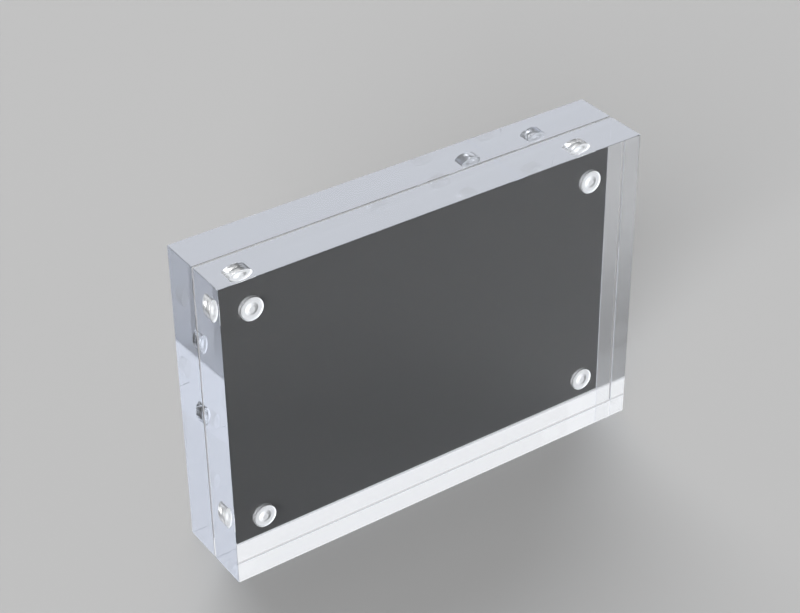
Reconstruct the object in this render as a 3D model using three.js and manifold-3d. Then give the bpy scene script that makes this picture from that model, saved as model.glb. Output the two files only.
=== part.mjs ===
// Clear acrylic sign holder: two identical polished blocks that clamp a card between them with
// four facing pairs of disc magnets. Each magnet sits in a blind pocket bored into a mating face.
// Millimetres, +Z up. The sign faces -Y, and the origin lies on the resting plane, under the
// middle of the closed holder. Left and right are as seen from the front.

import * as THREE from 'three';
import { mergeVertices } from 'three/addons/utils/BufferGeometryUtils.js';
import Module from 'manifold-3d';

const wasm = await Module();
wasm.setup();

// Acrylic blocks
const BLOCK_WIDTH = 105;
const BLOCK_HEIGHT = 74;
const BLOCK_THICKNESS = 9.8;
const BLOCK_ARRIS = 0.2; // polished chamfer along every edge

// Card between the blocks
const CARD_THICKNESS = 0.3;
const CARD_SIDE_MARGIN = 3.6; // clear border to its left and right when it lies in the middle
const CARD_END_MARGIN = 4.6; // clear border above and below it when it lies in the middle
const CARD_SLIP_LEFT = 1; // how far to the left of the middle it was slipped in
const CARD_SLIP_UP = 1; // how far above the middle
const CARD_PLAY = 0.05; // between the card and each mating face

// Disc magnets
const MAGNET_DIAMETER = 5;
const MAGNET_LENGTH = 1;
const MAGNET_ARRIS = 0.2; // chamfer round both rims
const MAGNET_SIDE_INSET = 9.7; // from a magnet's axis to the block's nearer side
const MAGNET_END_INSET = 10.6; // from a magnet's axis to the block's nearer top or bottom
const MAGNET_RECESS = 0.1; // from the mating face down to the magnet

// Magnet pockets
const POCKET_WALL_CLEARANCE = 0.2; // all round the magnet
const POCKET_FLOOR_CLEARANCE = 0.1; // behind the magnet
const CENTRE_POINT_DIAMETER = 3; // of the dimple that the cutter's blunt point leaves in the floor
const CENTRE_TIP_DIAMETER = 1.4; // of the dimple's flat bottom
const CENTRE_POINT_DEPTH = 0.5;
const CUTTER_OVERRUN = 1; // out of the mating face
const ROUND_SEGMENTS = 32; // of magnets and pockets alike, so that their facets run parallel

// Sizes that follow
const MATING_GAP = CARD_THICKNESS + 2 * CARD_PLAY;
const POCKET_RADIUS = MAGNET_DIAMETER / 2 + POCKET_WALL_CLEARANCE;
const POCKET_DEPTH = MAGNET_RECESS + MAGNET_LENGTH + POCKET_FLOOR_CLEARANCE;

const COLUMNS = [
  { side: 'left', across: -BLOCK_WIDTH / 2 + MAGNET_SIDE_INSET },
  { side: 'right', across: BLOCK_WIDTH / 2 - MAGNET_SIDE_INSET },
];
const ROWS = [
  { end: 'top', up: BLOCK_HEIGHT - MAGNET_END_INSET },
  { end: 'bottom', up: MAGNET_END_INSET },
];

// Each half is modelled with its mating face on y = 0 and its block towards +Y. The front half is
// the same thing turned half a turn about the vertical, which swaps its left and right.
const HALVES = [
  { name: 'front', turn: Math.PI, shift: -MATING_GAP / 2, hand: -1 },
  { name: 'rear', turn: 0, shift: MATING_GAP / 2, hand: 1 },
];

function acrylic() {
  return new THREE.MeshStandardMaterial({
    color: 0xe4ebf0, roughness: 0.04, metalness: 0, transparent: true, opacity: 0.3,
  });
}

function nickelPlate() {
  return new THREE.MeshStandardMaterial({ color: 0xdcdad5, roughness: 0.22, metalness: 1 });
}

function darkCard() {
  return new THREE.MeshStandardMaterial({ color: 0x525252, roughness: 0.85, metalness: 0 });
}

function toSolid(geometry) {
  const bare = geometry.clone();
  bare.deleteAttribute('normal');
  bare.deleteAttribute('uv');
  const merged = mergeVertices(bare);
  return new wasm.Manifold(new wasm.Mesh({
    numProp: 3,
    vertProperties: new Float32Array(merged.attributes.position.array),
    triVerts: new Uint32Array(merged.index.array),
  }));
}

function toGeometry(solid) {
  const { vertProperties, triVerts } = solid.getMesh();
  const geometry = new THREE.BufferGeometry();
  geometry.setAttribute('position', new THREE.BufferAttribute(vertProperties, 3));
  geometry.setIndex(new THREE.BufferAttribute(triVerts, 1));
  geometry.computeVertexNormals();
  return geometry;
}

// The block's upright outline, with its four corners cut by the arris
function blockOutline() {
  const half = BLOCK_WIDTH / 2;
  return new THREE.Shape([
    new THREE.Vector2(-half + BLOCK_ARRIS, 0),
    new THREE.Vector2(half - BLOCK_ARRIS, 0),
    new THREE.Vector2(half, BLOCK_ARRIS),
    new THREE.Vector2(half, BLOCK_HEIGHT - BLOCK_ARRIS),
    new THREE.Vector2(half - BLOCK_ARRIS, BLOCK_HEIGHT),
    new THREE.Vector2(-half + BLOCK_ARRIS, BLOCK_HEIGHT),
    new THREE.Vector2(-half, BLOCK_HEIGHT - BLOCK_ARRIS),
    new THREE.Vector2(-half, BLOCK_ARRIS),
  ]);
}

// A slab with the arris on both rims, stood upright and reaching from y = 0 to its thickness
function blankBlock() {
  const slab = new THREE.ExtrudeGeometry(blockOutline(), {
    depth: BLOCK_THICKNESS - 2 * BLOCK_ARRIS,
    bevelThickness: BLOCK_ARRIS,
    bevelSize: BLOCK_ARRIS,
    bevelOffset: -BLOCK_ARRIS,
    bevelSegments: 1,
  });
  slab.rotateX(Math.PI / 2);
  slab.translate(0, BLOCK_THICKNESS - BLOCK_ARRIS, 0);
  return slab;
}

// The space a flat-bottomed cutter leaves, entering at y = 0, with the dimple of its centre point
function pocketCutter() {
  return new THREE.LatheGeometry([
    new THREE.Vector2(0, -CUTTER_OVERRUN),
    new THREE.Vector2(POCKET_RADIUS, -CUTTER_OVERRUN),
    new THREE.Vector2(POCKET_RADIUS, POCKET_DEPTH),
    new THREE.Vector2(CENTRE_POINT_DIAMETER / 2, POCKET_DEPTH),
    new THREE.Vector2(CENTRE_TIP_DIAMETER / 2, POCKET_DEPTH + CENTRE_POINT_DEPTH),
    new THREE.Vector2(0, POCKET_DEPTH + CENTRE_POINT_DEPTH),
  ], ROUND_SEGMENTS);
}

function drilledBlock() {
  let block = toSolid(blankBlock());
  for (const { across } of COLUMNS) {
    for (const { up } of ROWS) {
      const cutter = pocketCutter().translate(across, 0, up);
      block = block.subtract(toSolid(cutter));
    }
  }
  return toGeometry(block);
}

// A chamfered disc lying along y, from its mating side to its pocket side
function magnet() {
  const radius = MAGNET_DIAMETER / 2;
  return new THREE.LatheGeometry([
    new THREE.Vector2(0, 0),
    new THREE.Vector2(radius - MAGNET_ARRIS, 0),
    new THREE.Vector2(radius, MAGNET_ARRIS),
    new THREE.Vector2(radius, MAGNET_LENGTH - MAGNET_ARRIS),
    new THREE.Vector2(radius - MAGNET_ARRIS, MAGNET_LENGTH),
    new THREE.Vector2(0, MAGNET_LENGTH),
  ], ROUND_SEGMENTS);
}

function card() {
  return new THREE.BoxGeometry(
    BLOCK_WIDTH - 2 * CARD_SIDE_MARGIN,
    CARD_THICKNESS,
    BLOCK_HEIGHT - 2 * CARD_END_MARGIN,
  );
}

function named(name, geometry, material) {
  const mesh = new THREE.Mesh(geometry, material);
  mesh.name = name;
  return mesh;
}

// One block with its four magnets
function half({ name, turn, shift, hand }) {
  const group = new THREE.Group();
  group.add(named(`${name}_block`, drilledBlock(), acrylic()));
  for (const { side, across } of COLUMNS) {
    for (const { end, up } of ROWS) {
      const disc = named(`${name}_magnet_${end}_${side}`, magnet(), nickelPlate());
      disc.position.set(hand * across, MAGNET_RECESS, up);
      group.add(disc);
    }
  }
  group.rotation.z = turn;
  group.position.y = shift;
  return group;
}

const holder = new THREE.Group();
for (const placing of HALVES) {
  holder.add(half(placing));
}
const insert = named('insert_card', card(), darkCard());
insert.position.set(-CARD_SLIP_LEFT, 0, BLOCK_HEIGHT / 2 + CARD_SLIP_UP);
holder.add(insert);

export default holder;
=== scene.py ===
"""Looks for a clear acrylic sign holder: two polished blocks, their disc magnets and a dark card.

Everything is in metres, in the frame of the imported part: +Z up, the sign facing -Y.
"""

import math

import bmesh
import bpy
from mathutils import Matrix, Vector


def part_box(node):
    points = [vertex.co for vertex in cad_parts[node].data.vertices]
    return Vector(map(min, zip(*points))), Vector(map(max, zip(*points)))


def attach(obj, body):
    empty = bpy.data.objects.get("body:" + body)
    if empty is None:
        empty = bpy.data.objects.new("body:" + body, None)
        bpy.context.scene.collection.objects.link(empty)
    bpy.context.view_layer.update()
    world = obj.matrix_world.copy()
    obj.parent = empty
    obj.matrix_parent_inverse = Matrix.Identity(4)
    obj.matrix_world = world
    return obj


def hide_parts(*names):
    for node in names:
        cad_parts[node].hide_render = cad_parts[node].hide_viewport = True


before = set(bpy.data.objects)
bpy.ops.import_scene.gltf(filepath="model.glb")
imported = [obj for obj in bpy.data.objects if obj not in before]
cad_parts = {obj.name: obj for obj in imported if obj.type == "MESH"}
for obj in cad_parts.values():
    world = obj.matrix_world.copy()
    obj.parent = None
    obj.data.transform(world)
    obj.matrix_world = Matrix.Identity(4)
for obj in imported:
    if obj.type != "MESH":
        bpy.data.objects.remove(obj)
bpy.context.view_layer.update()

MM = 0.001
CORNERS = ("top_left", "top_right", "bottom_left", "bottom_right")

# Blocks and their bored pockets
BLOCK_ARRIS = 0.1 * MM
ARRIS_SEGMENTS = 2
POCKET_WALL_CLEARANCE = 0.2 * MM
POCKET_FLOOR_CLEARANCE = 0.1 * MM
RIM_GROOVE_WIDTH = 0.3 * MM
RIM_GROOVE_DEPTH = 0.25 * MM
CENTRE_POINT_RADIUS = 1.5 * MM
CENTRE_TIP_RADIUS = 0.7 * MM
CENTRE_POINT_DEPTH = 0.5 * MM
CUTTER_OVERRUN = 1 * MM
WALL_NORMAL_LIMIT = 0.1  # a pocket's face is wall if its normal has less than this along Y
WALL_FROSTING = 0.3
POCKET_FLOOR_FROSTING = 1.0

# Magnets
MAGNET_ROUNDING = 0.2 * MM
ROUNDING_STEPS = 5

# Card
CARD_EDGE_ROUNDING = 0.06 * MM
CARD_EDGE_SEGMENTS = 2

# All meshes
ROUND_SEGMENTS = 96
ROUND_BEVEL_PROFILE = 0.5
SHARP_ANGLE = math.radians(30)

# Clear acrylic. Here and below, the scale of a noise is per metre, and a pair is a range.
ACRYLIC_IOR = 1.49
ACRYLIC_COLOURS = ((0.96, 0.97, 0.98, 1), (1, 1, 1, 1))
HAZE_SCALE = 45
HAZE_DETAIL = 3
FROST_ROUGHNESS = (0.4, 0.6)
TOOL_MARK_PITCH = 0.35 * MM
TOOL_MARK_DEPTH = 0.05 * MM
TOOL_MARK_STRENGTH = 0.4
TINT_COLOUR = (0.32, 0.44, 0.69, 1)
TINT_DENSITY = 4
LAMP_SHARE = (0.94, 0.95, 0.96, 1)  # of a lamp's light, that each face lets through

# Nickel plate
NICKEL_COLOURS = ((0.76, 0.74, 0.70, 1), (0.86, 0.85, 0.83, 1))
NICKEL_ROUGHNESS = (0.25, 0.4)
STAIN_SCALE = 900
STAIN_DETAIL = 4
GRAIN_SCALE = 9000
GRAIN_DETAIL = 2
GRAIN_DEPTH = 0.02 * MM
GRAIN_STRENGTH = 0.15

# Card stock
CARD_COLOURS = ((0.026, 0.026, 0.0265, 1), (0.036, 0.036, 0.036, 1))
CARD_ROUGHNESS = (0.75, 0.95)
FIBRE_SQUEEZE = (1, 1, 2.5)  # fibres lie along the card's width
FIBRE_SCALE = 1600
FIBRE_DETAIL = 6
FIBRE_RAGGEDNESS = 0.65
FIBRE_DEPTH = 0.02 * MM
FIBRE_STRENGTH = 0.3

# Floor
FLOOR_SIZE = 6.0
FLOOR_DROP = 0.1 * MM
FLOOR_COLOUR = (0.5, 0.5, 0.5, 1)
FLOOR_ROUGHNESS = 0.9
FLOOR_SPECULAR = 0.1
# painted light: the even glow of the floor just under a block, standing in for the light the acrylic
# gathers there
PAINTED_FLOOR_GLOW = (0.66, 0.66, 0.66, 1)
STANDING_REACH = 1 * MM

# Dome
DOME_COLOURS = ((0.75, 0.76, 0.78, 1), (1, 1, 1, 1))
DOME_FULL_HEIGHT = 0.5  # where it reaches its brightest, as a share of straight up
DOME_STRENGTH = 1.0
DOME_STRENGTH_ON_MATT = 0.05

# Camera, fitted to the corners of the holder in an image 800 pixels wide
IMAGE_WIDTH_PX = 800
FOCAL_LENGTH_PX = 1997.7
SENSOR_WIDTH_MM = 36
VIEW_AZIMUTH = math.radians(-34.16)
VIEW_ELEVATION = math.radians(33.91)
VIEW_ROLL = math.radians(-0.70)
VIEW_DISTANCE = 431.1 * MM
VIEW_CENTRE = Vector((0, 0, 40 * MM))
VIEW_OFFSET_RIGHT = -3.2 * MM
VIEW_OFFSET_UP = 3.66 * MM
NEAR_CLIP = 10 * MM

# Light paths
BOUNCES_IN_ACRYLIC = 32
GLOSSY_BOUNCES = 16


# Nodes

def new_material(name):
    """A plain node material, as (material, its Principled shader)."""
    material = bpy.data.materials.new(name)
    material.use_nodes = True
    return material, material.node_tree.nodes["Principled BSDF"]


def set_inputs(tree, node, inputs):
    """Sets a node's inputs, by name or number, each to a plain value or by a link from a socket."""
    for key, value in inputs.items():
        if isinstance(value, bpy.types.NodeSocket):
            tree.links.new(value, node.inputs[key])
        else:
            node.inputs[key].default_value = value


def put(tree, kind, inputs=None, **settings):
    """Adds a node with these inputs and other settings."""
    node = tree.nodes.new("ShaderNode" + kind)
    set_inputs(tree, node, inputs or {})
    for name, value in settings.items():
        setattr(node, name, value)
    return node


def noise(tree, place, scale, detail, roughness=0.5):
    """Noise from 0 to 1."""
    inputs = {"Vector": place, "Scale": scale, "Detail": detail, "Roughness": roughness}
    return put(tree, "TexNoise", inputs).outputs["Fac"]


def mapped(tree, source, low, high, from_low=0):
    """A value from from_low to 1 mapped to the range from low to high."""
    inputs = {"Value": source, "From Min": from_low, "To Min": low, "To Max": high}
    return put(tree, "MapRange", inputs).outputs["Result"]


def graded(tree, source, colours, full_at=1.0):
    """A colour that goes from the first to the second as a value goes from 0 to full_at."""
    node = put(tree, "ValToRGB", {"Fac": source})
    start, end = node.color_ramp.elements
    start.color, end.color = colours
    end.position = full_at
    return node.outputs["Color"]


def calculated(tree, kind, operation, *values):
    """The result of a math node on one or two values, each a socket or a plain value."""
    node = put(tree, kind, dict(enumerate(values)), operation=operation)
    return node.outputs["Value" if operation == "LENGTH" else 0]


def bumped(tree, height, depth, strength):
    """A surface's normal as it would be with a height from 0 to 1 standing out by a depth."""
    inputs = {"Height": height, "Distance": depth, "Strength": strength}
    return put(tree, "Bump", inputs).outputs["Normal"]


def mixed(tree, share, first, second):
    """One shader, or another where the share is 1."""
    return put(tree, "MixShader", {0: share, 1: first, 2: second}).outputs["Shader"]


# Materials

def tool_marks(tree, place):
    """Fine rings, from 0 to 1, round the pockets' axes, which lie alike in a block's four quarters."""
    low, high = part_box("front_block")
    magnet_low, magnet_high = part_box("front_magnet_top_right")
    block_centre = (low + high) / 2
    axis = (magnet_low + magnet_high) / 2 - block_centre
    from_centre = calculated(tree, "VectorMath", "SUBTRACT", place, block_centre)
    in_quarter = calculated(tree, "VectorMath", "ABSOLUTE", from_centre)
    from_axis = calculated(tree, "VectorMath", "SUBTRACT", in_quarter, axis)
    across_axis = calculated(tree, "VectorMath", "MULTIPLY", from_axis, (1, 0, 1))
    radius = calculated(tree, "VectorMath", "LENGTH", across_axis)
    turns = calculated(tree, "Math", "MULTIPLY", radius, 2 * math.pi / TOOL_MARK_PITCH)
    return mapped(tree, calculated(tree, "Math", "SINE", turns), 0, 1, from_low=-1)


def acrylic_material():
    """Polished clear acrylic that lets lamps shine through, white where the mesh says it is frosted."""
    material, shader = new_material("clear_acrylic")
    tree = material.node_tree
    place = put(tree, "TexCoord").outputs["Object"]
    haze = noise(tree, place, HAZE_SCALE, HAZE_DETAIL)
    marks = tool_marks(tree, place)
    frosting = put(tree, "Attribute", attribute_name="frosting").outputs["Fac"]
    scatter = calculated(tree, "Math", "SQRT", frosting)
    frost_roughness = mapped(tree, marks, *FROST_ROUGHNESS)
    mark_strength = calculated(tree, "Math", "MULTIPLY", frosting, TOOL_MARK_STRENGTH)
    set_inputs(tree, shader, {
        "Base Color": graded(tree, haze, ACRYLIC_COLOURS),
        "IOR": ACRYLIC_IOR,
        "Roughness": calculated(tree, "Math", "MULTIPLY", scatter, frost_roughness),
        "Transmission Weight": mapped(tree, frosting, 1, 0),
        "Normal": bumped(tree, marks, TOOL_MARK_DEPTH, mark_strength),
    })
    is_lamp = put(tree, "LightPath").outputs["Is Shadow Ray"]
    clear = put(tree, "BsdfTransparent", {"Color": LAMP_SHARE}).outputs["BSDF"]
    tint = put(tree, "VolumeAbsorption", {"Color": TINT_COLOUR, "Density": TINT_DENSITY})
    set_inputs(tree, tree.nodes["Material Output"], {
        "Surface": mixed(tree, is_lamp, shader.outputs["BSDF"], clear),
        "Volume": tint.outputs["Volume"],
    })
    return material


def nickel_material():
    """Tumbled nickel plate, with faint stains and fine marks."""
    material, shader = new_material("nickel_plate")
    tree = material.node_tree
    place = put(tree, "TexCoord").outputs["Object"]
    stains = noise(tree, place, STAIN_SCALE, STAIN_DETAIL)
    grain = noise(tree, place, GRAIN_SCALE, GRAIN_DETAIL)
    set_inputs(tree, shader, {
        "Base Color": graded(tree, stains, NICKEL_COLOURS),
        "Metallic": 1.0,
        "Roughness": mapped(tree, stains, *NICKEL_ROUGHNESS),
        "Normal": bumped(tree, grain, GRAIN_DEPTH, GRAIN_STRENGTH),
    })
    return material


def card_material():
    """Dark uncoated card, with paper fibre in its tone and surface."""
    material, shader = new_material("dark_card")
    tree = material.node_tree
    place = put(tree, "TexCoord").outputs["Object"]
    squeezed = put(tree, "Mapping", {"Vector": place, "Scale": FIBRE_SQUEEZE}).outputs["Vector"]
    fibre = noise(tree, squeezed, FIBRE_SCALE, FIBRE_DETAIL, FIBRE_RAGGEDNESS)
    set_inputs(tree, shader, {
        "Base Color": graded(tree, fibre, CARD_COLOURS),
        "Roughness": mapped(tree, fibre, *CARD_ROUGHNESS),
        "Normal": bumped(tree, fibre, FIBRE_DEPTH, FIBRE_STRENGTH),
    })
    return material


def floor_material():
    """A matt pale floor.

    Acrylic gathers light on the floor that it stands on. Caustics are off, so a ray that leaves a
    block just above the floor finds painted light instead: there the floor glows with an even emission.
    """
    material, shader = new_material("floor")
    tree = material.node_tree
    set_inputs(tree, shader, {
        "Base Color": FLOOR_COLOUR,
        "Roughness": FLOOR_ROUGHNESS,
        "Specular IOR Level": FLOOR_SPECULAR,
    })
    reach = put(tree, "LightPath").outputs["Ray Length"]
    is_under = calculated(tree, "Math", "LESS_THAN", reach, STANDING_REACH)
    # Painted light: an emission that makes the floor under a block glow evenly, though it is no lamp
    painted_glow = put(tree, "Emission", {"Color": PAINTED_FLOOR_GLOW}).outputs["Emission"]
    surface = mixed(tree, is_under, shader.outputs["BSDF"], painted_glow)
    set_inputs(tree, tree.nodes["Material Output"], {"Surface": surface})
    return material


# Meshes

def ring(bm, centre, radius, along):
    """A circle of vertices round an axis along Y, or one vertex where the radius is 0."""
    if radius == 0:
        return [bm.verts.new((centre.x, along, centre.z))]
    verts = []
    for step in range(ROUND_SEGMENTS):
        angle = 2 * math.pi * step / ROUND_SEGMENTS
        x = centre.x + radius * math.cos(angle)
        z = centre.z + radius * math.sin(angle)
        verts.append(bm.verts.new((x, along, z)))
    return verts


def lathe(profile, centre):
    """A closed solid turned round an axis along Y, from (radius, y) points that start and end on it."""
    bm = bmesh.new()
    rings = [ring(bm, centre, radius, along) for radius, along in profile]
    for near, far in zip(rings, rings[1:]):
        for step in range(ROUND_SEGMENTS):
            after = step + 1
            corners = [near[step % len(near)], near[after % len(near)]]
            corners += [far[after % len(far)], far[step % len(far)]]
            bm.faces.new(list(dict.fromkeys(corners)))
    bmesh.ops.recalc_face_normals(bm, faces=bm.faces)
    for face in bm.faces:
        face.smooth = True
    return bm


def bevelled_box(low, high, width, segments):
    bm = bmesh.new()
    bmesh.ops.create_cube(bm, size=1)
    bmesh.ops.scale(bm, vec=high - low, verts=bm.verts)
    bmesh.ops.translate(bm, vec=(low + high) / 2, verts=bm.verts)
    bmesh.ops.bevel(
        bm,
        geom=bm.edges[:],
        offset=width,
        segments=segments,
        profile=ROUND_BEVEL_PROFILE,
        affect="EDGES",
    )
    return bm


def add_object(name, bm, material):
    mesh = bpy.data.meshes.new(name)
    bm.to_mesh(mesh)
    bm.free()
    mesh.materials.append(material)
    piece = bpy.data.objects.new(name, mesh)
    bpy.context.scene.collection.objects.link(piece)
    return piece


def bake_modifiers(piece):
    """Replaces a piece's mesh by what its modifiers make of it."""
    bpy.context.view_layer.update()
    evaluated = piece.evaluated_get(bpy.context.evaluated_depsgraph_get())
    mesh = bpy.data.meshes.new_from_object(evaluated)
    piece.modifiers.clear()
    piece.data = mesh


def settle(piece, body, node):
    """Lets a piece stand for a CAD node."""
    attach(piece, body)
    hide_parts(node)


# Blocks

def pocket_cutter(side, corner, mating_y, acrylic):
    """The space that a flat-bottomed cutter leaves round a magnet, from outside the mating face.

    The cutter's rim cuts a little deeper than the rest, and its blunt centre point leaves a dimple.
    """
    low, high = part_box(f"{side}_magnet_{corner}")
    into = 1 if side == "rear" else -1
    deep_y = high.y if side == "rear" else low.y
    radius = (high.x - low.x) / 2 + POCKET_WALL_CLEARANCE
    mouth_y = mating_y - into * CUTTER_OVERRUN
    floor_y = deep_y + into * POCKET_FLOOR_CLEARANCE
    profile = [
        (0, mouth_y),
        (radius, mouth_y),
        (radius, floor_y + into * RIM_GROOVE_DEPTH),
        (radius - RIM_GROOVE_WIDTH, floor_y),
        (CENTRE_POINT_RADIUS, floor_y),
        (CENTRE_TIP_RADIUS, floor_y + into * CENTRE_POINT_DEPTH),
        (0, floor_y + into * CENTRE_POINT_DEPTH),
    ]
    return add_object(f"cutter_{corner}", lathe(profile, (low + high) / 2), acrylic)


def bore(block, cutters):
    """Cuts the cutters out of a block, and removes them."""
    for cutter in cutters:
        cut = block.modifiers.new(cutter.name, "BOOLEAN")
        cut.operation = "DIFFERENCE"
        cut.solver = "EXACT"
        cut.object = cutter
    bake_modifiers(block)
    for cutter in cutters:
        bpy.data.objects.remove(cutter)


def mark_frosting(mesh, low, high):
    """Smooths and frosts the pockets, which lie away from the block's own skin."""
    frosting = mesh.attributes.new("frosting", "FLOAT", "FACE")
    for face in mesh.polygons:
        depth = min(min(face.center - low), min(high - face.center))
        face.use_smooth = depth > BLOCK_ARRIS
        if face.use_smooth:
            is_wall = abs(face.normal.y) < WALL_NORMAL_LIMIT
            frosting.data[face.index].value = WALL_FROSTING if is_wall else POCKET_FLOOR_FROSTING


def add_block(side, acrylic):
    node = f"{side}_block"
    low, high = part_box(node)
    box = bevelled_box(low, high, BLOCK_ARRIS, ARRIS_SEGMENTS)
    block = add_object(f"{side}_acrylic_block", box, acrylic)
    mating_y = low.y if side == "rear" else high.y
    bore(block, [pocket_cutter(side, corner, mating_y, acrylic) for corner in CORNERS])
    block.data.set_sharp_from_angle(angle=SHARP_ANGLE)
    mark_frosting(block.data, low, high)
    settle(block, f"{side}_half", node)


# Magnets

def magnet_profile(radius, low_y, high_y):
    """Half of a disc's section, with both rims rounded."""
    near = []
    far = []
    for step in range(ROUNDING_STEPS + 1):
        angle = math.pi / 2 * step / ROUNDING_STEPS
        inward = MAGNET_ROUNDING * (1 - math.sin(angle))
        along = MAGNET_ROUNDING * (1 - math.cos(angle))
        near.append((radius - inward, low_y + along))
        far.append((radius - inward, high_y - along))
    return [(0, low_y), *near, *reversed(far), (0, high_y)]


def add_magnets(side, nickel):
    for corner in CORNERS:
        node = f"{side}_magnet_{corner}"
        low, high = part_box(node)
        profile = magnet_profile((high.x - low.x) / 2, low.y, high.y)
        magnet = add_object(f"{side}_disc_magnet_{corner}", lathe(profile, (low + high) / 2), nickel)
        magnet.data.set_sharp_from_angle(angle=SHARP_ANGLE)
        settle(magnet, f"{side}_half", node)


# Card

def add_card(material):
    low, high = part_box("insert_card")
    sheet = bevelled_box(low, high, CARD_EDGE_ROUNDING, CARD_EDGE_SEGMENTS)
    settle(add_object("card_sheet", sheet, material), "card", "insert_card")


# Stage

def add_floor():
    bm = bmesh.new()
    bmesh.ops.create_grid(bm, x_segments=1, y_segments=1, size=FLOOR_SIZE / 2)
    bmesh.ops.translate(bm, vec=(0, 0, -FLOOR_DROP), verts=bm.verts)
    add_object("floor", bm, floor_material())


def add_softbox(name, direction, spread, strength):
    """A far, wide lamp. It is always aimed at, so that its light gets through acrylic."""
    light = bpy.data.lights.new(name, "SUN")
    light.angle = spread
    light.energy = strength
    light.cycles.use_multiple_importance_sampling = False
    lamp = bpy.data.objects.new(name, light)
    lamp.rotation_euler = Vector(direction).to_track_quat("Z", "Y").to_euler()
    bpy.context.scene.collection.objects.link(lamp)


def set_world():
    """A soft dome, brightest overhead, dimmer for matt surfaces than for what glass and metal show."""
    world = bpy.data.worlds.new("studio")
    bpy.context.scene.world = world
    world.use_nodes = True
    tree = world.node_tree
    direction = put(tree, "TexCoord").outputs["Generated"]
    height = put(tree, "SeparateXYZ", {"Vector": direction}).outputs["Z"]
    is_matt = put(tree, "LightPath").outputs["Is Diffuse Ray"]
    set_inputs(tree, tree.nodes["Background"], {
        "Color": graded(tree, height, DOME_COLOURS, DOME_FULL_HEIGHT),
        "Strength": mapped(tree, is_matt, DOME_STRENGTH, DOME_STRENGTH_ON_MATT),
    })


def add_camera():
    level_reach = math.cos(VIEW_ELEVATION)
    back = Vector((
        math.sin(VIEW_AZIMUTH) * level_reach,
        -math.cos(VIEW_AZIMUTH) * level_reach,
        math.sin(VIEW_ELEVATION),
    ))
    level = Vector((math.cos(VIEW_AZIMUTH), math.sin(VIEW_AZIMUTH), 0))
    upright = back.cross(level)
    right = math.cos(VIEW_ROLL) * level + math.sin(VIEW_ROLL) * upright
    up = math.cos(VIEW_ROLL) * upright - math.sin(VIEW_ROLL) * level
    place = VIEW_CENTRE + back * VIEW_DISTANCE + right * VIEW_OFFSET_RIGHT + up * VIEW_OFFSET_UP
    data = bpy.data.cameras.new("camera")
    data.sensor_width = SENSOR_WIDTH_MM
    data.lens = FOCAL_LENGTH_PX / IMAGE_WIDTH_PX * SENSOR_WIDTH_MM
    data.clip_start = NEAR_CLIP
    camera = bpy.data.objects.new("camera", data)
    camera.matrix_world = Matrix.Translation(place) @ Matrix((right, up, back)).transposed().to_4x4()
    bpy.context.scene.collection.objects.link(camera)
    bpy.context.scene.camera = camera


def set_light_paths():
    """Enough bounces for light inside the blocks. Lamps shine straight through, so caustics stay off."""
    cycles = bpy.context.scene.cycles
    cycles.caustics_refractive = False
    cycles.caustics_reflective = False
    cycles.max_bounces = BOUNCES_IN_ACRYLIC
    cycles.transmission_bounces = BOUNCES_IN_ACRYLIC
    cycles.transparent_max_bounces = BOUNCES_IN_ACRYLIC
    cycles.glossy_bounces = GLOSSY_BOUNCES


# The scene

acrylic = acrylic_material()
nickel = nickel_material()
for side in ("front", "rear"):
    add_block(side, acrylic)
    add_magnets(side, nickel)
add_card(card_material())
add_floor()
set_world()
add_softbox("overhead", direction=(0.0, 0.1, 1.4), spread=math.radians(40), strength=0.4)
add_softbox("key", direction=(-1.1, -0.85, 0.45), spread=math.radians(40), strength=4.4)
add_softbox("back_fill", direction=(0.5, 1.0, 0.8), spread=math.radians(45), strength=2.3)
add_camera()
set_light_paths()
bpy.context.scene.view_settings.view_transform = "Standard"
